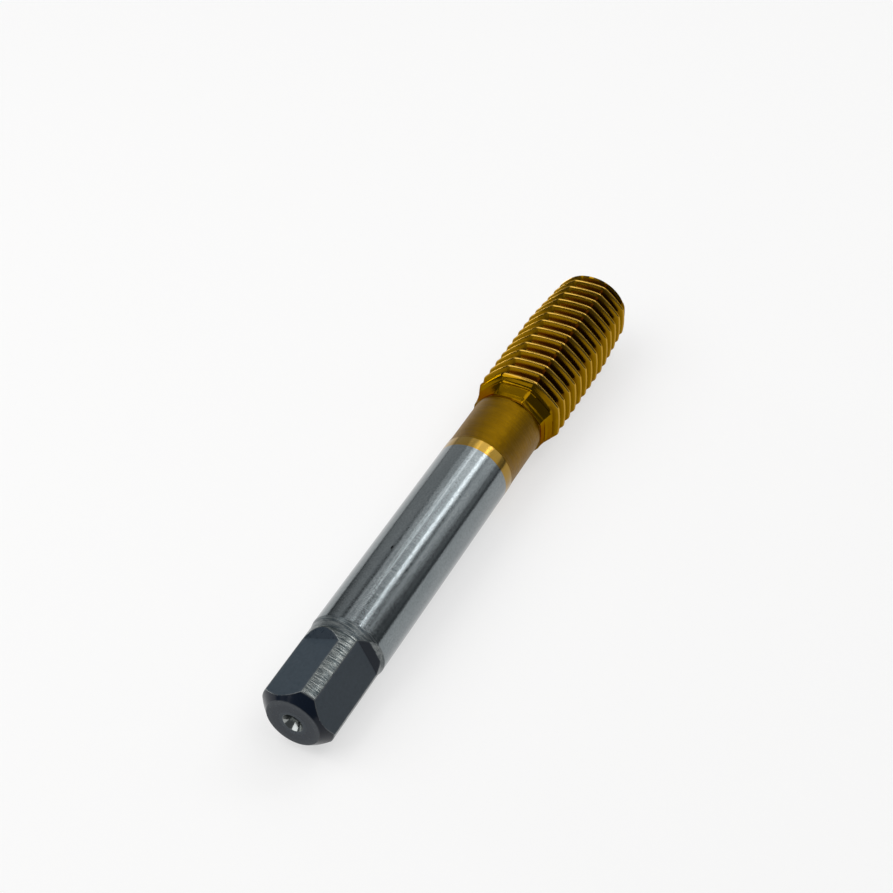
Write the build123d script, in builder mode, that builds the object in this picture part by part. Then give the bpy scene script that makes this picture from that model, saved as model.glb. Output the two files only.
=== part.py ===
"""Thread forming tap, metric M14 x 2, right hand.

One piece of high speed steel: a black square for the tap wrench, a ground round
shank, a turned neck and a fluteless thread whose ground form has eight lobes.
The tap lies on its side, as it comes to rest: the tip points to +X, +Z is up,
and the origin is on the surface below the middle of the tap. All sizes are in mm.
"""
import os
from math import acos, atan, cos, degrees, floor, radians, sin, tan

from build123d import *

# ---- stations along the tap, from the face of its square to the tip ----
overall_length = 95.0
turned_end_length = 14.3       # black, unground part that carries the square
shank_end = 52.7               # end of the ground shank
neck_taper_length = 1.4        # shallow cone from the shank down to the neck
neck_end = 62.6                # foot of the lobed cone that leads up to the thread
thread_start = 66.75           # first crest of full height, on the lobe at lobe_turn
lead_length = 10.9             # tapered lead, its chamfered tip included

# ---- turned and ground sizes ----
shank_diameter = 11.2
turned_end_diameter = 10.86    # over the lands left between the flats
turned_end_step = 0.7          # length of the step from the turned end to the shank
neck_diameter = 10.97
drive_face_diameter = 7.9      # end face inside its 45 degree chamfer
cone_step = 0.04               # from the neck up to the middle of each facet, at the foot of the cone
tip_chamfer = 0.95

# ---- square for the wrench ----
across_flats = 8.95
square_turn = 19.0             # one land of the square, turned from straight up
flat_lengths = (12.4, 10.9)    # the two pairs of flats, each pair cut in one pass
run_out_angles = (30.0, 35.5)  # slope at the end of each pair, to the tap's axis

# ---- thread ----
thread_diameter = 14.1         # over two opposite lobes
pitch = 2.0
lobes = 8
lobe_turn = 22.5               # one lobe, turned from straight up
facet_relief = 0.64            # how flat a facet is between two lobes: 0 is round, 1 is flat
lead_angle = 4.5               # taper of the lead on each side
thread_angle = 60.0            # between the two flanks
crest_width = 0.3
thread_depth = 1.1

# ---- centre hole in each end ----
centre_mouth_diameter = 3.0
centre_pilot_diameter = 1.6
centre_pilot_depth = 3.2
centre_cone_angle = 60.0

# ---- sizes that follow from those above ----
shank_radius = shank_diameter / 2
neck_radius = neck_diameter / 2
turned_end_radius = turned_end_diameter / 2
drive_face_radius = drive_face_diameter / 2
lobe_radius = thread_diameter / 2
lobe_step = 360 / lobes
facet_height = lobe_radius * (1 - facet_relief * (1 - cos(radians(lobe_step / 2))))
facet_share = facet_height / cos(radians(lobe_step / 4)) / lobe_radius
cone_foot_radius = (neck_radius + cone_step) * lobe_radius / facet_height
lead_start = overall_length - lead_length
lead_slope = tan(radians(lead_angle))
tip_radius = lobe_radius - lead_length * lead_slope
# one lobe and the two edges of the flat middle of the facet beside it: (turn, share of the lobe radius)
ridges = ((0, 1), (lobe_step / 4, facet_share), (lobe_step * 3 / 4, facet_share))
groove_mouth = pitch - crest_width
groove_root = groove_mouth - 2 * thread_depth * tan(radians(thread_angle / 2))
clear = 1.0                    # how far a cutting shape stands proud of the surface

# ---- rest: the tap lies on the first full crest of a facet of its thread, and at its other end
# on a land of the square or on the shank, whichever touches first ----
front_rest = thread_start + pitch * ((180 - lobe_turn) / 360 % 1) - crest_width / 2
land_half_turn = 45 - degrees(acos(across_flats / turned_end_diameter))
land_edge = radians(max(0, square_turn - land_half_turn))
rear_rests = (
    (turned_end_radius - drive_face_radius, turned_end_radius * cos(land_edge)),
    (turned_end_length, shank_radius),
)
rest_tilt = atan(min((facet_height - height) / (front_rest - station) for station, height in rear_rests))
end_height = facet_height * cos(rest_tilt) - front_rest * sin(rest_tilt)
forward = Vector(cos(rest_tilt), 0, sin(rest_tilt))
upward = Vector(-sin(rest_tilt), 0, cos(rest_tilt))
end_position = Vector(-overall_length / 2 * cos(rest_tilt), 0, end_height)
# the drive face: local z runs to the tip, local x is up and local y is to the right
drive_face = Plane(end_position, x_dir=upward, z_dir=forward)
centre_line = Axis(end_position, forward)


def lengthwise(turn):
    """The section through the axis at a turn: local x runs to the tip, local y is the radius."""
    outward = drive_face.x_dir * cos(radians(turn)) + drive_face.y_dir * sin(radians(turn))
    return Plane(end_position, x_dir=forward, z_dir=forward.cross(outward))


def lobed_outline(radius):
    """The section of the thread blank, for a sketch on the drive face or parallel to it."""
    points = []
    for lobe in range(lobes):
        for turn, share in ridges:
            angle = radians(lobe_turn + lobe * lobe_step + turn)
            points.append((radius * share * cos(angle), radius * share * sin(angle)))
    return points


# ---- thread groove: a V cut that follows the lobes, straight from each ridge to the next ----
first_lobe = -2 * lobes
last_lobe = lobes * (floor((overall_length - thread_start) / pitch) + 2)

with BuildPart() as thread_groove:
    for lobe in range(first_lobe, last_lobe + 1):
        for turn, share in ridges:
            along = lobe * lobe_step + turn
            station = thread_start + pitch / 2 + pitch * along / 360
            crest = share * (lobe_radius - lead_slope * max(0, station - lead_start))
            with BuildSketch(lengthwise(lobe_turn + along)):
                with BuildLine():
                    Polyline(
                        (station - groove_root / 2, crest - thread_depth),
                        (station - groove_mouth / 2, crest),
                        (station - groove_mouth / 2, crest + clear),
                        (station + groove_mouth / 2, crest + clear),
                        (station + groove_mouth / 2, crest),
                        (station + groove_root / 2, crest - thread_depth),
                        close=True,
                    )
                make_face()
    loft(ruled=True)

# ---- threaded head: a lobed blank with a cone behind and a tapered lead, less the groove ----
with BuildPart() as threaded_head:
    for near, far, near_radius, far_radius in (
        (neck_end, thread_start, cone_foot_radius, lobe_radius),
        (thread_start, lead_start, lobe_radius, lobe_radius),
        (lead_start, overall_length, lobe_radius, tip_radius),
    ):
        with BuildSketch(drive_face.offset(near)):
            Polygon(*lobed_outline(near_radius), align=None)
        with BuildSketch(drive_face.offset(far)):
            Polygon(*lobed_outline(far_radius), align=None)
        loft()
    reach = lobe_radius - tip_radius + clear
    with BuildSketch(lengthwise(0)):
        with BuildLine():
            Polyline(
                (neck_end, 0),
                (neck_end, tip_radius + reach),
                (overall_length - tip_chamfer - reach, tip_radius + reach),
                (overall_length, tip_radius - tip_chamfer),
                (overall_length, 0),
                close=True,
            )
        make_face()
    revolve(axis=centre_line, mode=Mode.INTERSECT)
    add(thread_groove.part, mode=Mode.SUBTRACT)

# ---- the tap: turned bar, square, threaded head and centre holes in one piece ----
with BuildPart() as thread_tap:
    with BuildSketch(lengthwise(0)):
        with BuildLine():
            Polyline(
                (0, 0),
                (0, drive_face_radius),
                (turned_end_radius - drive_face_radius, turned_end_radius),
                (turned_end_length - turned_end_step, turned_end_radius),
                (turned_end_length, shank_radius),
                (shank_end, shank_radius),
                (shank_end + neck_taper_length, neck_radius),
                (neck_end, neck_radius),
                (neck_end, 0),
                close=True,
            )
        make_face()
    revolve(axis=centre_line)

    for side in range(4):
        length = flat_lengths[side % 2]
        slope = tan(radians(run_out_angles[side % 2]))
        flat_height = across_flats / 2
        cut_height = shank_radius + clear
        with BuildSketch(lengthwise(square_turn + 45 + 90 * side)):
            with BuildLine():
                Polyline(
                    (-clear, flat_height),
                    (length, flat_height),
                    (length + (cut_height - flat_height) / slope, cut_height),
                    (-clear, cut_height),
                    close=True,
                )
            make_face()
        extrude(amount=shank_radius + clear, both=True, mode=Mode.SUBTRACT)

    add(threaded_head.part)

    mouth_radius = centre_mouth_diameter / 2
    pilot_radius = centre_pilot_diameter / 2
    cone_depth = (mouth_radius - pilot_radius) / tan(radians(centre_cone_angle / 2))
    for face_station, inward in ((0, 1), (overall_length, -1)):
        with BuildSketch(lengthwise(0)):
            with BuildLine():
                Polyline(
                    (face_station, 0),
                    (face_station, mouth_radius),
                    (face_station + inward * cone_depth, pilot_radius),
                    (face_station + inward * centre_pilot_depth, pilot_radius),
                    (face_station + inward * (centre_pilot_depth + pilot_radius / 2), 0),
                    close=True,
                )
            make_face()
        revolve(axis=centre_line, mode=Mode.SUBTRACT)

thread_tap.part.label = "thread_tap"
os.makedirs("parts", exist_ok=True)
export_step(thread_tap.part, "parts/thread_tap.step")
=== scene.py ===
"""Thread forming tap, metric M14 x 2: the finished look of the one steel piece, on a pale floor.

Lengths of the tap are in mm in its own frame, where x is the distance from the face of its
square; they are turned into the row frame, in metres, when the mesh is put in its place.
"""
from math import acos, atan, atan2, cos, degrees, exp, floor, hypot, pi, radians, sin, tan

import bmesh
import bpy
from mathutils import Matrix, Quaternion, Vector


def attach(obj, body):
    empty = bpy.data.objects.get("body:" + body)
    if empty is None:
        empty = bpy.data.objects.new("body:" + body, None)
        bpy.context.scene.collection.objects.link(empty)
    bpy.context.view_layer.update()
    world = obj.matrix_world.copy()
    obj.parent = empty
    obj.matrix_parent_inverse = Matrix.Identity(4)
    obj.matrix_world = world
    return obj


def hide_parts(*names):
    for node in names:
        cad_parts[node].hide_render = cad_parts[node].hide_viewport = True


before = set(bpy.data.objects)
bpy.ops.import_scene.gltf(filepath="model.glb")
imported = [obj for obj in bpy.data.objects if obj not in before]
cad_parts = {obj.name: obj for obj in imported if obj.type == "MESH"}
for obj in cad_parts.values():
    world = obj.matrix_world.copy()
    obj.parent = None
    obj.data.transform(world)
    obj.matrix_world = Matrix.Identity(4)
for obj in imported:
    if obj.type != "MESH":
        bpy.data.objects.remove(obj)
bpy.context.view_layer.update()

scene = bpy.context.scene
scene.view_settings.view_transform = "Standard"

# ---------------------------------------------------------------------------------------------
# Camera: a long lens close behind the drive end, looking down along the tap, so that the square
# is near and large and the thread runs away from it.
# ---------------------------------------------------------------------------------------------
camera_data = bpy.data.cameras.new("tap_camera")
camera_data.sensor_width = 36.0
camera_data.lens = 73.357
camera_data.clip_start = 0.01
camera = bpy.data.objects.new("tap_camera", camera_data)
scene.collection.objects.link(camera)
camera.rotation_mode = "QUATERNION"
camera.rotation_quaternion = Quaternion((0.78302, 0.339641, -0.214187, -0.475023))
camera.location = (-0.170099, -0.082441, 0.188768)
scene.camera = camera

# ---------------------------------------------------------------------------------------------
# Floor and lamps: a plain white table, two broad soft lamps high on the left and right that light
# it, lamps beyond the tip whose reflections run along the shank, and low ones beside the thread.
# ---------------------------------------------------------------------------------------------
floor_mesh = bpy.data.meshes.new("table_top")
table_half = 4.0
floor_mesh.from_pydata(
    [(-table_half, -table_half, 0), (table_half, -table_half, 0),
     (table_half, table_half, 0), (-table_half, table_half, 0)], [], [(0, 1, 2, 3)])
table_top = bpy.data.objects.new("table_top", floor_mesh)
scene.collection.objects.link(table_top)
white_table = bpy.data.materials.new("white_table")
white_table.use_nodes = True
table_shader = white_table.node_tree.nodes["Principled BSDF"]
table_shader.inputs["Base Color"].default_value = (0.95, 0.94, 0.93, 1)
table_shader.inputs["Roughness"].default_value = 0.8
table_shader.inputs["Specular IOR Level"].default_value = 0.2
table_whiteness = 0.6
table_nodes, table_links = white_table.node_tree.nodes, white_table.node_tree.links
seen_by = table_nodes.new("ShaderNodeLightPath")
camera_or_glossy = table_nodes.new("ShaderNodeMath")
camera_or_glossy.operation = "MAXIMUM"
seen = table_nodes.new("ShaderNodeMath")
seen.operation = "MAXIMUM"
table_links.new(seen_by.outputs["Is Camera Ray"], camera_or_glossy.inputs[0])
table_links.new(seen_by.outputs["Is Glossy Ray"], camera_or_glossy.inputs[1])
table_links.new(camera_or_glossy.outputs[0], seen.inputs[0])
table_links.new(seen_by.outputs["Is Transmission Ray"], seen.inputs[1])
whiteness = table_nodes.new("ShaderNodeMath")
whiteness.operation = "MULTIPLY"
whiteness.inputs[1].default_value = table_whiteness
table_links.new(seen.outputs[0], whiteness.inputs[0])
plain_white = table_nodes.new("ShaderNodeEmission")
plain_white.inputs["Color"].default_value = (1, 1, 1, 1)
plain_white.inputs["Strength"].default_value = 1.0
table_mix = table_nodes.new("ShaderNodeMixShader")
table_links.new(whiteness.outputs[0], table_mix.inputs[0])
table_links.new(table_shader.outputs[0], table_mix.inputs[1])
table_links.new(plain_white.outputs[0], table_mix.inputs[2])
table_links.new(table_mix.outputs[0], table_nodes["Material Output"].inputs["Surface"])
floor_mesh.materials.append(white_table)

room = bpy.data.worlds.new("room")
scene.world = room
room.use_nodes = True
room.node_tree.nodes["Background"].inputs["Color"].default_value = (0.90, 0.96, 1.0, 1)
room.node_tree.nodes["Background"].inputs["Strength"].default_value = 0.13


def soft_lamp(name, azimuth, elevation, distance, width, height, radiance):
    """A rectangular soft lamp that faces the tap; its power follows from its radiance."""
    data = bpy.data.lights.new(name, "AREA")
    data.shape = "RECTANGLE"
    data.size = width
    data.size_y = height
    data.energy = radiance * pi * width * height
    lamp = bpy.data.objects.new(name, data)
    scene.collection.objects.link(lamp)
    azimuth, elevation = radians(azimuth), radians(elevation)
    away = Vector((cos(elevation) * cos(azimuth), cos(elevation) * sin(azimuth), sin(elevation)))
    lamp.location = away * distance
    lamp.rotation_mode = "QUATERNION"
    lamp.rotation_quaternion = away.to_track_quat("Z", "Y")
    return lamp


soft_lamp("high_left_lamp", 125, 52, 0.50, 0.45, 0.45, 2.2)
soft_lamp("high_right_lamp", -75, 68, 0.50, 0.35, 0.35, 1.7)
soft_lamp("overhead_fill", 50, 67, 0.60, 0.40, 0.40, 0.45)
soft_lamp("tip_lamp", -7, 46, 0.60, 0.40, 0.24, 1.75)
soft_lamp("tip_strip_left", 10, 49, 0.60, 0.035, 0.20, 1.4)
soft_lamp("tip_strip_right", -24.5, 43.5, 0.60, 0.024, 0.24, 7.5)
soft_lamp("tip_lamp_edge", 28, 43, 0.60, 0.14, 0.19, 0.62)
soft_lamp("right_lamp", -41, 29, 0.60, 0.18, 0.26, 0.95)
soft_lamp("right_low_lamp", -47, 12, 0.60, 0.16, 0.10, 0.24)
soft_lamp("left_lamp", 166, 13, 0.60, 0.24, 0.20, 1.0)
soft_lamp("far_left_lamp", 142, 10, 0.60, 0.28, 0.20, 0.40)
soft_lamp("tip_left_lamp", 43, 22.5, 0.60, 0.28, 0.41, 0.38)
soft_lamp("low_left_lamp", 87, 6, 0.60, 0.16, 0.13, 7.0)

# ---------------------------------------------------------------------------------------------
# Bar: the black turned end with its wrench square, the ground shank and the turned neck. The
# square is four milled flats that run out in slopes, with strips of the turned bar left between.
# ---------------------------------------------------------------------------------------------
overall_length = 95.0
turned_end_length = 14.3
shank_end = 52.7
neck_start = 54.1
neck_end = 62.6
coat_start = 50.84
shank_radius = 5.6
turned_end_radius = 5.43
drive_face_radius = 3.95
neck_radius = 5.485
mouth_radius = 1.5
pilot_radius = 0.8
pilot_depth = 3.2
pilot_point_depth = 3.6
cone_depth = (mouth_radius - pilot_radius) / tan(radians(30))
flat_distance = 8.95 / 2
square_turn = 19.0
flat_lengths = (12.4, 10.9)
run_out_slopes = (tan(radians(30)), tan(radians(35.5)))
lobe_turn = 22.5
edge_round = 0.05

land_columns = 24
flat_places = (-1, -0.975, -0.85, -0.65, -0.43, -0.21, 0, 0.21, 0.43, 0.65, 0.85, 0.975, 1)
ring_columns = 8 * land_columns
column_step = 360 / ring_columns
# beyond the square the columns turn a little, so that they meet the lobes of the thread
seam_twist = (lobe_turn - square_turn + column_step / 2) % column_step - column_step / 2


def around(station, radius, turn):
    """A point of the tap's own frame: turn is from straight up towards the right."""
    return (station, -radius * sin(radians(turn)), radius * cos(radians(turn)))


def height_of_flat(side, station):
    return flat_distance + max(0.0, station - flat_lengths[side % 2]) * run_out_slopes[side % 2]


def half_flat(side, station, radius):
    """Half of the angle that a flat takes up on the bar at a station, in radians."""
    height = height_of_flat(side, station)
    return acos(height / radius) if height < radius else 0.0


def bar_ring(station, radius):
    ring = []
    twist = seam_twist if station > turned_end_length + 1 else 0.0
    for side in range(4):
        middle = square_turn + 45 + 90 * side + twist
        half = half_flat(side, station, radius)
        rounding = min(edge_round / max(radius, 0.1), half / 2)
        height = height_of_flat(side, station)
        shoulder = pi / 4 - half - rounding
        for column in range(land_columns + 1):
            angle = -pi / 4 + shoulder * column / land_columns
            ring.append(around(station, radius, middle + degrees(angle)))
        for share in flat_places:
            if half > 0:
                across = height * tan(half - rounding) * share
                angle = atan(across / height)
                ring.append(around(station, hypot(across, height), middle + degrees(angle)))
            else:
                ring.append(around(station, radius, middle))
        for column in range(land_columns):
            angle = half + rounding + shoulder * column / land_columns
            ring.append(around(station, radius, middle + degrees(angle)))
    return ring


bar_profile = [
    (pilot_point_depth, 0.0), (pilot_depth, pilot_radius), (cone_depth + 0.05, pilot_radius),
    (cone_depth - 0.05, pilot_radius + 0.03), (0.04, mouth_radius - 0.02), (0.0, mouth_radius + 0.03),
    (0.0, 2.2), (0.0, 3.0), (0.0, drive_face_radius - 0.06), (0.03, drive_face_radius + 0.01),
]
chamfer_end = turned_end_radius - drive_face_radius
chamfer_rings = 18
for step in range(1, chamfer_rings + 1):
    climb = (chamfer_end - 0.08) * step / (chamfer_rings + 1)
    bar_profile.append((0.03 + climb, drive_face_radius + 0.01 + climb))
bar_profile += [(chamfer_end - 0.03, turned_end_radius - 0.04), (chamfer_end + 0.05, turned_end_radius)]
bar_profile += [(2.0 + 0.5 * step, turned_end_radius) for step in range(17)]
bar_profile += [(10.4, turned_end_radius), (10.8, turned_end_radius)]
bar_profile += [(10.9 + 0.1 * step, turned_end_radius) for step in range(13)]
bar_profile += [(12.16, turned_end_radius), (12.2, turned_end_radius), (12.24, turned_end_radius)]
bar_profile += [(12.4 + 0.1 * step, turned_end_radius) for step in range(12)]
for step in range(9):
    station = 13.6 + 0.7 * step / 8
    bar_profile.append((station, turned_end_radius + (shank_radius - turned_end_radius) * step / 8))
bar_profile += [(14.33, shank_radius), (14.36, shank_radius), (14.5, shank_radius), (15.0, shank_radius)]
bar_profile += [(16.0 + 2 * step, shank_radius) for step in range(18)]
bar_profile += [(coat_start, shank_radius), (51.8, shank_radius), (shank_end - 0.03, shank_radius)]
for step in range(1, 8):
    share = step / 8
    bar_profile.append((shank_end + (neck_start - shank_end) * share,
                        shank_radius + (neck_radius - shank_radius) * share))
bar_profile += [(neck_start, neck_radius), (54.3, neck_radius)]
bar_profile += [(55.0 + step, neck_radius) for step in range(8)]
bar_profile.append((neck_end, neck_radius))

bar_rings = [bar_ring(station, radius) for station, radius in bar_profile]

# ---------------------------------------------------------------------------------------------
# Threaded head: a fluteless thread ground with eight lobes. A V thread follows the lobes in a
# right-hand helix, a cone leads up to it from the neck, and its lead tapers to a chamfered tip.
# ---------------------------------------------------------------------------------------------
thread_sizes = {
    "Pitch": 2.0, "Thread start": 66.75, "Lobe radius": 7.05, "Lobe step": 45.0, "Facet relief": 0.64,
    "Thread depth": 1.1, "Crest width": 0.3, "Flank slope": tan(radians(30)),
    "Neck end": neck_end, "Cone foot radius": 5.808, "Lead start": 84.1, "Lead slope": tan(radians(4.5)),
    "Tip": overall_length, "Tip face radius": 5.242,
}
rows_per_turn = 16
turns = 19
row_places = (0.0, 0.12, 0.17, 0.24, 0.42, 0.60, 0.76, 0.84, 1.0, 1.16, 1.24, 1.40, 1.58, 1.76, 1.83, 1.88, 2.0)

titanium_nitride = bpy.data.materials.new("titanium_nitride_coat")
black_oxide = bpy.data.materials.new("black_oxide_end")
ground_steel = bpy.data.materials.new("ground_steel_shank")

thread_tree = bpy.data.node_groups.new("fluteless_thread", "GeometryNodeTree")
thread_tree.interface.new_socket("Thread", in_out="OUTPUT", socket_type="NodeSocketGeometry")
for name in thread_sizes:
    thread_tree.interface.new_socket(name, in_out="INPUT", socket_type="NodeSocketFloat")
nodes, links = thread_tree.nodes, thread_tree.links
sizes_in = nodes.new("NodeGroupInput").outputs


def sum_of(operation, *terms):
    """One maths node; a term is a number or the output of another node."""
    node = nodes.new("ShaderNodeMath")
    node.operation = operation
    for slot, term in zip(node.inputs, terms):
        if isinstance(term, (int, float)):
            slot.default_value = term
        else:
            links.new(term, slot)
    return node.outputs[0]


thread_grid = nodes.new("GeometryNodeMeshGrid")
thread_grid.inputs["Vertices X"].default_value = rows_per_turn * turns + 1
thread_grid.inputs["Vertices Y"].default_value = ring_columns + 1
vertex = nodes.new("GeometryNodeInputIndex").outputs[0]
row = sum_of("FLOOR", sum_of("DIVIDE", vertex, ring_columns + 1))
column = sum_of("SUBTRACT", vertex, sum_of("MULTIPLY", row, ring_columns + 1))
turn = sum_of("MULTIPLY", column, column_step)
whole_turns = sum_of("FLOOR", sum_of("DIVIDE", row, rows_per_turn))
part_turn = sum_of("SUBTRACT", sum_of("DIVIDE", row, rows_per_turn), whole_turns)

row_curve = nodes.new("ShaderNodeFloatCurve")
curve = row_curve.mapping.curves[0]
for index, place in enumerate(row_places[1:-1], 1):
    curve.points.new(index / rows_per_turn, place / 2.0)
for point in curve.points:
    point.handle_type = "VECTOR"
row_curve.mapping.update()
links.new(part_turn, row_curve.inputs["Value"])

turned = sum_of("DIVIDE", turn, 360.0)
advance = sum_of("ADD", sum_of("ADD", whole_turns, row_curve.outputs["Value"]), turned)
first_crest = sum_of("SUBTRACT", sizes_in["Thread start"], sum_of("MULTIPLY", sizes_in["Pitch"], 4.0))
helix = sum_of("MULTIPLY_ADD", advance, sizes_in["Pitch"], first_crest)
station = sum_of("MINIMUM", sum_of("MAXIMUM", helix, sizes_in["Neck end"]), sizes_in["Tip"])

half_step = sum_of("MULTIPLY", sizes_in["Lobe step"], 0.5)
from_middle = sum_of("ABSOLUTE", sum_of(
    "SUBTRACT", sum_of("MODULO", turn, sizes_in["Lobe step"]), half_step))
from_next = sum_of("SUBTRACT", sizes_in["Lobe step"], from_middle)
flat_height = sum_of("MULTIPLY", sizes_in["Lobe radius"], sum_of("COSINE", sum_of("RADIANS", half_step)))
this_facet = sum_of("DIVIDE", flat_height, sum_of("COSINE", sum_of("RADIANS", from_middle)))
next_facet = sum_of("DIVIDE", flat_height, sum_of("COSINE", sum_of("RADIANS", from_next)))
faceted = sum_of("SMOOTH_MIN", this_facet, next_facet, 0.3)
hollow = sum_of("MULTIPLY", sum_of("SUBTRACT", sizes_in["Lobe radius"], faceted), sizes_in["Facet relief"])
lobed = sum_of("SUBTRACT", sizes_in["Lobe radius"], hollow)
past_lead = sum_of("MAXIMUM", sum_of("SUBTRACT", station, sizes_in["Lead start"]), 0.0)
taper = sum_of("DIVIDE", sum_of("MULTIPLY", past_lead, sizes_in["Lead slope"]), sizes_in["Lobe radius"])
crest = sum_of("MULTIPLY", lobed, sum_of("SUBTRACT", 1.0, taper))

from_crest = sum_of("SUBTRACT", sum_of("SUBTRACT", station, sizes_in["Thread start"]),
                    sum_of("MULTIPLY", sizes_in["Pitch"], turned))
half_pitch = sum_of("MULTIPLY", sizes_in["Pitch"], 0.5)
beside = sum_of("ABSOLUTE", sum_of("WRAP", from_crest, half_pitch, sum_of("MULTIPLY", half_pitch, -1.0)))
down_flank = sum_of("DIVIDE", sum_of("SUBTRACT", beside, sum_of("MULTIPLY", sizes_in["Crest width"], 0.5)),
                    sizes_in["Flank slope"])
rounded = sum_of("SMOOTH_MAX", down_flank, 0.0, 0.16)
depth = sum_of("SMOOTH_MIN", rounded, sizes_in["Thread depth"], 0.3)
thread_radius = sum_of("SUBTRACT", crest, depth)

up_cone = sum_of("DIVIDE", sum_of("SUBTRACT", station, sizes_in["Neck end"]),
                 sum_of("SUBTRACT", sizes_in["Thread start"], sizes_in["Neck end"]))
cone_rise = sum_of("SUBTRACT", sizes_in["Lobe radius"], sizes_in["Cone foot radius"])
cone_ridge = sum_of("MULTIPLY_ADD", sum_of("POWER", up_cone, 1.8), cone_rise, sizes_in["Cone foot radius"])
cone = sum_of("MULTIPLY", cone_ridge, sum_of("DIVIDE", lobed, sizes_in["Lobe radius"]))
tip_cone = sum_of("ADD", sizes_in["Tip face radius"], sum_of("SUBTRACT", sizes_in["Tip"], station))
head_radius = sum_of("MINIMUM", sum_of("SMOOTH_MIN", thread_radius, cone, 0.08), tip_cone)

heading = sum_of("RADIANS", sum_of("ADD", turn, lobe_turn))
place = nodes.new("ShaderNodeCombineXYZ")
links.new(station, place.inputs[0])
links.new(sum_of("MULTIPLY", head_radius, sum_of("MULTIPLY", sum_of("SINE", heading), -1.0)), place.inputs[1])
links.new(sum_of("MULTIPLY", head_radius, sum_of("COSINE", heading)), place.inputs[2])
move = nodes.new("GeometryNodeSetPosition")
links.new(thread_grid.outputs["Mesh"], move.inputs["Geometry"])
links.new(place.outputs[0], move.inputs["Position"])
weld = nodes.new("GeometryNodeMergeByDistance")
weld.inputs["Distance"].default_value = 0.004
links.new(move.outputs[0], weld.inputs["Geometry"])
realize = nodes.new("GeometryNodeRealizeInstances")
links.new(weld.outputs[0], realize.inputs[0])
coat = nodes.new("GeometryNodeSetMaterial")
coat.inputs["Material"].default_value = titanium_nitride
links.new(realize.outputs[0], coat.inputs["Geometry"])
links.new(coat.outputs[0], nodes.new("NodeGroupOutput").inputs[0])

blank = bpy.data.objects.new("threaded_head", bpy.data.meshes.new("threaded_head"))
scene.collection.objects.link(blank)
grinding = blank.modifiers.new("grinding", "NODES")
grinding.node_group = thread_tree
for item in thread_tree.interface.items_tree:
    if item.in_out == "INPUT":
        grinding[item.identifier] = thread_sizes[item.name]
head_mesh = bpy.data.meshes.new_from_object(blank.evaluated_get(bpy.context.evaluated_depsgraph_get()))
blank.modifiers.remove(grinding)
bpy.data.objects.remove(blank)

# ---------------------------------------------------------------------------------------------
# The tap in one piece: bar, threaded head and the centre hole in its tip, welded into one skin
# and laid on the table as it comes to rest, on one facet of the thread and one edge of the square.
# ---------------------------------------------------------------------------------------------
rest_tilt = radians(1.1598995)
tail_place = Vector((-0.04749027, 0.0, 0.0053392952))

skin = bmesh.new()
skin.from_mesh(head_mesh)


def turn_of(co):
    return degrees(atan2(-co.y, co.z))


rear_rim = sorted((v.co.copy() for v in skin.verts if v.co.x < neck_end + 0.0005), key=turn_of)
tip_rim = sorted((v.co.copy() for v in skin.verts if v.co.x > overall_length - 0.0005), key=turn_of)


def skin_between(rings):
    previous = None
    for ring in rings:
        current = [skin.verts.new(co) for co in ring]
        if previous:
            for k in range(len(ring)):
                after = (k + 1) % len(ring)
                skin.faces.new((previous[k], previous[after], current[after], current[k]))
        previous = current


skin_between(bar_rings)
skin_between([[around(neck_end, neck_radius, turn_of(co)) for co in rear_rim], rear_rim])
tip_rings = [tip_rim]
for station, radius in (
        (overall_length, 3.4), (overall_length, mouth_radius + 0.03), (overall_length - 0.04, mouth_radius - 0.02),
        (overall_length - cone_depth, pilot_radius), (overall_length - pilot_depth, pilot_radius),
        (overall_length - pilot_point_depth, 0.0)):
    tip_rings.append([around(station, radius, turn_of(co)) for co in tip_rim])
skin_between(tip_rings)

bmesh.ops.remove_doubles(skin, verts=skin.verts, dist=0.004)
bmesh.ops.dissolve_degenerate(skin, edges=skin.edges, dist=0.0005)
bmesh.ops.recalc_face_normals(skin, faces=skin.faces)
for face in skin.faces:
    face.smooth = True
    along = face.calc_center_median().x
    face.material_index = 0 if along > coat_start else 1 if along > turned_end_length else 2
for edge in skin.edges:
    if len(edge.link_faces) == 2:
        limit = 14 if edge.verts[0].co.x < turned_end_length + 0.5 else 50
        edge.smooth = edge.calc_face_angle() < radians(limit)

tap_mesh = bpy.data.meshes.new("tap")
skin.to_mesh(tap_mesh)
skin.free()
bpy.data.meshes.remove(head_mesh)


def crest_radius(station, turn):
    """Radius of the thread's crests at a station and a turn, on the lobed form and down its lead."""
    from_middle = abs((turn - lobe_turn) % thread_sizes["Lobe step"] - thread_sizes["Lobe step"] / 2)
    flat = cos(radians(thread_sizes["Lobe step"] / 2)) / cos(radians(from_middle))
    lobed_radius = thread_sizes["Lobe radius"] * (1 - thread_sizes["Facet relief"] * (1 - flat))
    return lobed_radius - max(0.0, station - thread_sizes["Lead start"]) * thread_sizes["Lead slope"]


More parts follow.
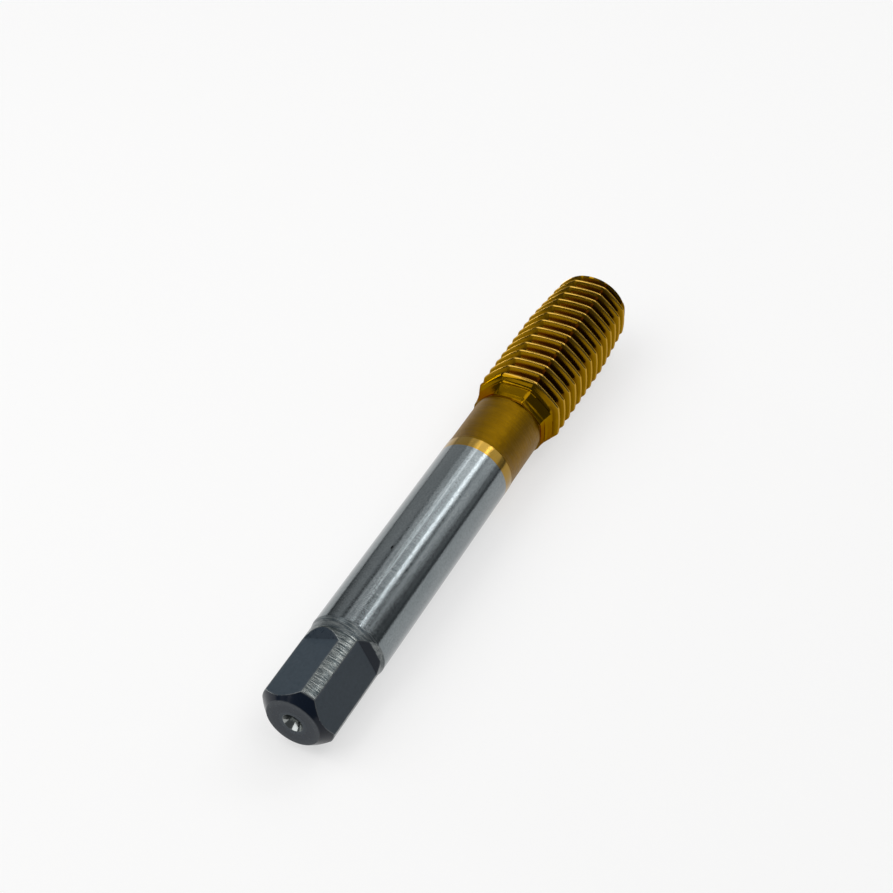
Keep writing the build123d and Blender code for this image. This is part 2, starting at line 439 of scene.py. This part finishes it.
# rubbed crests and edges, and on the thread the depth that sets the painted shade of its grooves
wear_and_groove_shade = tap_mesh.attributes.new("wear_and_groove_shade", "FLOAT", "POINT")
turned_skin = tap_mesh.attributes.new("turned", "FLOAT", "POINT")
smooth_cut_and_painted_shade = tap_mesh.attributes.new("smooth_cut_and_painted_shade", "FLOAT", "POINT")
for index, spot in enumerate(tap_mesh.vertices):
    station, right, up = spot.co.x, -spot.co.y, spot.co.z
    radius, turn_here = hypot(right, up), degrees(atan2(right, up))
    wear_and_shade_value, lathe, smooth_and_shaded = 0.0, 0.0, 0.0
    if station > neck_end + 0.3:
        # the thread: 1 on the crests and 0 in the roots, and a middling value on the cone; the crests get a rubbed
        # colour and the roots a painted shade
        wear_and_shade_value = max(0.0, 1.0 - (crest_radius(station, turn_here) - radius) / thread_sizes["Thread depth"])
        if station < thread_sizes["Thread start"] - 0.4:
            wear_and_shade_value = max(wear_and_shade_value, 0.7)
    elif station < turned_end_length + 0.2 and radius > mouth_radius + 0.1:
        # the turned end: edges of the flats and of the chamfer are rubbed bright, the strips of the
        # bar keep the lathe's skin, and the chamfer and the slopes are cut smoother than the flats;
        # they and the drive face also get painted shade, a darker tint
        side = floor((turn_here - square_turn) / 90)
        off = turn_here - square_turn - 45 - 90 * side
        bar = min(turned_end_radius, drive_face_radius + station) if station < 13.6 else radius
        half = half_flat(side, station, bar)
        beyond = (radians(abs(off)) - half) * radius
        on_flat = beyond < -0.02 and station > 0.05
        if half > 0:
            wear_and_shade_value = exp(-(beyond / 0.07) ** 2) * (0.6 if station < chamfer_end - 0.1 else 0.7)
        if station < 0.05:
            wear_and_shade_value = 0.15 * exp(-((radius - drive_face_radius) / 0.1) ** 2)
            smooth_and_shaded = 0.6
        elif not on_flat:
            wear_and_shade_value = max(wear_and_shade_value, exp(-((station - chamfer_end) / 0.08) ** 2))
        if station > chamfer_end and not on_flat:
            lathe = 1.0 if station < flat_lengths[0] else 0.6
        if not on_flat and 0.02 < station < chamfer_end - 0.05:
            smooth_and_shaded = 1.0
        if on_flat and station > flat_lengths[side % 2] + 0.05:
            smooth_and_shaded = (0.8, 0.4)[side % 2]
    elif 0.03 < station < cone_depth:
        wear_and_shade_value = smooth_and_shaded = 1.0
    wear_and_groove_shade.data[index].value = wear_and_shade_value
    turned_skin.data[index].value = lathe
    smooth_cut_and_painted_shade.data[index].value = smooth_and_shaded

lay_down = Matrix.Translation(tail_place) @ Matrix.Rotation(-rest_tilt, 4, "Y") @ Matrix.Scale(0.001, 4)
tap_mesh.transform(lay_down)
tap = bpy.data.objects.new("tap", tap_mesh)
scene.collection.objects.link(tap)
for finish in (titanium_nitride, ground_steel, black_oxide):
    tap_mesh.materials.append(finish)
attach(tap, "root")
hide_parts("thread_tap")

# ---------------------------------------------------------------------------------------------
# Finishes: the titanium nitride of the head, the ground steel of the shank and the black oxide
# of the drive end, with painted shade in the thread's grooves and on the square's chamfer and slopes.
# Each pattern is laid out along the tap and around it, in mm.
# ---------------------------------------------------------------------------------------------


class Finish:
    """The nodes of one finish."""

    def __init__(self, material):
        material.use_nodes = True
        self.nodes = material.node_tree.nodes
        self.links = material.node_tree.links
        self.shader = self.nodes["Principled BSDF"]
        where = self.nodes.new("ShaderNodeTexCoord")
        own_frame = self.nodes.new("ShaderNodeMapping")
        own_frame.inputs["Scale"].default_value = (1000, 1000, 1000)
        own_frame.inputs["Rotation"].default_value = (0, rest_tilt, 0)
        start = Matrix.Rotation(rest_tilt, 4, "Y") @ (tail_place * -1000)
        own_frame.inputs["Location"].default_value = start
        self.links.new(where.outputs["Object"], own_frame.inputs["Vector"])
        self.place = own_frame.outputs["Vector"]
        apart = self.nodes.new("ShaderNodeSeparateXYZ")
        self.links.new(self.place, apart.inputs[0])
        self.along = apart.outputs[0]

    def feed(self, value, socket):
        if isinstance(value, (int, float)):
            socket.default_value = value
        elif isinstance(value, tuple):
            socket.default_value = (*value, 1.0)[: len(socket.default_value)]
        else:
            self.links.new(value, socket)

    def sum(self, operation, *terms):
        node = self.nodes.new("ShaderNodeMath")
        node.operation = operation
        for slot, term in zip(node.inputs, terms):
            self.feed(term, slot)
        return node.outputs[0]

    def attribute(self, name):
        node = self.nodes.new("ShaderNodeAttribute")
        node.attribute_name = name
        return node.outputs["Fac"]

    def noise(self, stretch, detail=3.0, roughness=0.6):
        """Noise with its own scale along the tap and across it, per mm."""
        squeeze = self.nodes.new("ShaderNodeMapping")
        squeeze.inputs["Scale"].default_value = stretch
        self.links.new(self.place, squeeze.inputs["Vector"])
        node = self.nodes.new("ShaderNodeTexNoise")
        node.inputs["Scale"].default_value = 1.0
        node.inputs["Detail"].default_value = detail
        node.inputs["Roughness"].default_value = roughness
        self.links.new(squeeze.outputs["Vector"], node.inputs["Vector"])
        return node.outputs["Fac"]

    def spot(self, middle, radius, half_size):
        """A small oval mark on the bar: 1 inside it and 0 outside."""
        centre = self.nodes.new("ShaderNodeVectorMath")
        centre.operation = "SUBTRACT"
        centre.inputs[1].default_value = around(middle[0], radius, middle[1])
        self.links.new(self.place, centre.inputs[0])
        stretched = self.nodes.new("ShaderNodeVectorMath")
        stretched.operation = "DIVIDE"
        stretched.inputs[1].default_value = (half_size[0], half_size[1], half_size[1])
        self.links.new(centre.outputs[0], stretched.inputs[0])
        reach = self.nodes.new("ShaderNodeVectorMath")
        reach.operation = "LENGTH"
        self.links.new(stretched.outputs[0], reach.inputs[0])
        return self.sum("LESS_THAN", reach.outputs["Value"], 1.0)

    def ramp(self, value, *stops):
        node = self.nodes.new("ShaderNodeValToRGB")
        band = node.color_ramp
        while len(band.elements) < len(stops):
            band.elements.new(0.5)
        for element, (position, colour) in zip(band.elements, stops):
            element.position = position
            element.color = (*colour, 1.0) if isinstance(colour, tuple) else (colour,) * 3 + (1.0,)
        self.links.new(value, node.inputs["Fac"])
        return node.outputs["Color"]

    def mix(self, share, first, second):
        node = self.nodes.new("ShaderNodeMix")
        node.data_type = "RGBA"
        self.feed(share, node.inputs[0])
        self.feed(first, node.inputs[6])
        self.feed(second, node.inputs[7])
        return node.outputs[2]

    def bump(self, height, distance, strength=1.0, under=None):
        node = self.nodes.new("ShaderNodeBump")
        node.inputs["Strength"].default_value = strength
        node.inputs["Distance"].default_value = distance
        self.links.new(height, node.inputs["Height"])
        if under:
            self.links.new(under, node.inputs["Normal"])
        return node.outputs["Normal"]


gold = Finish(titanium_nitride)
crest_wear_and_groove_shade = gold.attribute("wear_and_groove_shade")
cloud = gold.noise((0.5, 0.5, 0.5))
lathe_lines = gold.noise((6.0, 0.22, 0.22), detail=4.0)
fleck = gold.noise((2.2, 2.2, 2.2), detail=3.0)
on_neck = gold.sum("MULTIPLY", gold.sum("GREATER_THAN", gold.along, shank_end + 0.05),
                   gold.sum("LESS_THAN", gold.along, neck_end + 0.01))
on_ring = gold.sum("LESS_THAN", gold.along, shank_end)
gold_tint = gold.ramp(cloud, (0.3, (0.215, 0.110, 0.0010)), (0.7, (0.255, 0.135, 0.002)))
ring_tint = gold.mix(on_ring, gold_tint, (0.32, 0.195, 0.034))
lined = gold.sum("MULTIPLY", on_neck, gold.ramp(lathe_lines, (0.42, 0.5), (0.58, 0.0)))
ring_tint = gold.mix(lined, ring_tint, (0.155, 0.080, 0.001))
on_head = gold.sum("GREATER_THAN", gold.along, neck_end + 0.02)
# painted shade: the roots of the thread are tinted darker to stand for the dark surroundings mirrored in the grooves
painted_groove_shade = gold.sum("MULTIPLY", gold.ramp(crest_wear_and_groove_shade, (0.1, 1.0), (0.75, 0.0)), on_head)
tint_with_painted_groove_shade = gold.mix(painted_groove_shade, ring_tint, (0.085, 0.032, 0.001))
rubbed = gold.ramp(crest_wear_and_groove_shade, (0.84, 0.0), (0.98, 1.0))
worn_gold = gold.mix(gold.sum("MULTIPLY", rubbed, 0.7), tint_with_painted_groove_shade, (0.62, 0.38, 0.08))
gold.feed(worn_gold, gold.shader.inputs["Base Color"])
gold.shader.inputs["Metallic"].default_value = 1.0
gold.feed(gold.mix(on_head, (1.0, 1.0, 1.0), (0.50, 0.37, 0.15)), gold.shader.inputs["Specular Tint"])
ground_gloss = gold.sum("MULTIPLY_ADD", cloud, 0.10, 0.11)
satin = gold.sum("ADD", gold.sum("MULTIPLY_ADD", lathe_lines, 0.24, 0.28), gold.sum("MULTIPLY", fleck, 0.12))
gold.feed(gold.mix(on_neck, ground_gloss, satin), gold.shader.inputs["Roughness"])
line_height = gold.sum("MULTIPLY", lathe_lines, gold.sum("MULTIPLY_ADD", on_neck, 0.9, 0.1))
gold.feed(gold.bump(line_height, 0.00008), gold.shader.inputs["Normal"])

steel = Finish(ground_steel)
wheel_lines = steel.noise((9.0, 0.2, 0.2), detail=5.0)
steel_cloud = steel.noise((0.12, 0.5, 0.5))
grain = steel.noise((5.0, 4.0, 4.0), detail=4.0)
steel_tint = steel.ramp(steel_cloud, (0.3, (0.196, 0.221, 0.230)), (0.7, (0.236, 0.261, 0.270)))
grained = steel.mix(steel.ramp(grain, (0.40, 0.40), (0.56, 0.0)), steel_tint, (0.12, 0.132, 0.14))
pit = steel.spot((28.35, -8.4), shank_radius, (0.34, 0.13))
steel.feed(steel.mix(pit, grained, (0.004, 0.005, 0.006)), steel.shader.inputs["Base Color"])
steel.shader.inputs["Metallic"].default_value = 1.0
ground_roughness = steel.sum("ADD", steel.sum("MULTIPLY", wheel_lines, 0.08), steel.sum("MULTIPLY", grain, 0.10))
steel.feed(ground_roughness, steel.shader.inputs["Roughness"])
steel.feed(steel.bump(grain, 0.000008, under=steel.bump(wheel_lines, 0.000010)), steel.shader.inputs["Normal"])

oxide = Finish(black_oxide)
edge_rub = oxide.attribute("wear_and_groove_shade")
lathe_skin = oxide.attribute("turned")
smooth_cut_and_shade = oxide.attribute("smooth_cut_and_painted_shade")
chatter = oxide.noise((5.5, 0.5, 0.5), detail=4.0, roughness=0.75)
speckle = oxide.noise((2.0, 2.0, 2.0), detail=5.0)
flat_tint = oxide.ramp(speckle, (0.3, (0.026, 0.038, 0.050)), (0.7, (0.036, 0.050, 0.064)))
# painted shade: the smooth-cut chamfer, slopes and drive face are tinted darker than the flats
oxide_tint_with_painted_shade = oxide.mix(smooth_cut_and_shade, flat_tint, (0.005, 0.009, 0.018))
lathe_tint = oxide.ramp(
    chatter, (0.38, (0.03, 0.042, 0.048)), (0.5, (0.115, 0.13, 0.13)), (0.62, (0.27, 0.285, 0.275)))
worn_turned = oxide.mix(lathe_skin, oxide_tint_with_painted_shade, lathe_tint)
edge_share = oxide.sum("MULTIPLY", edge_rub,
                       oxide.sum("MAXIMUM", smooth_cut_and_shade, oxide.ramp(speckle, (0.35, 0.3), (0.6, 1.0))))
oxide.feed(oxide.mix(edge_share, worn_turned, (0.30, 0.315, 0.31)), oxide.shader.inputs["Base Color"])
oxide.feed(oxide.sum("MAXIMUM", oxide.sum("MULTIPLY", lathe_skin, 0.9), edge_share), oxide.shader.inputs["Metallic"])
oxide.shader.inputs["Specular IOR Level"].default_value = 0.22
smoothed = oxide.sum("ADD", oxide.sum("MULTIPLY", smooth_cut_and_shade, 0.18), oxide.sum("MULTIPLY", lathe_skin, 0.12))
oxide.feed(oxide.sum("SUBTRACT", oxide.sum("MULTIPLY_ADD", speckle, 0.16, 0.28), smoothed),
           oxide.shader.inputs["Roughness"])
oxide.feed(oxide.bump(oxide.sum("MULTIPLY", chatter, lathe_skin), 0.00002, strength=0.7,
                      under=oxide.bump(speckle, 0.0000015)), oxide.shader.inputs["Normal"])
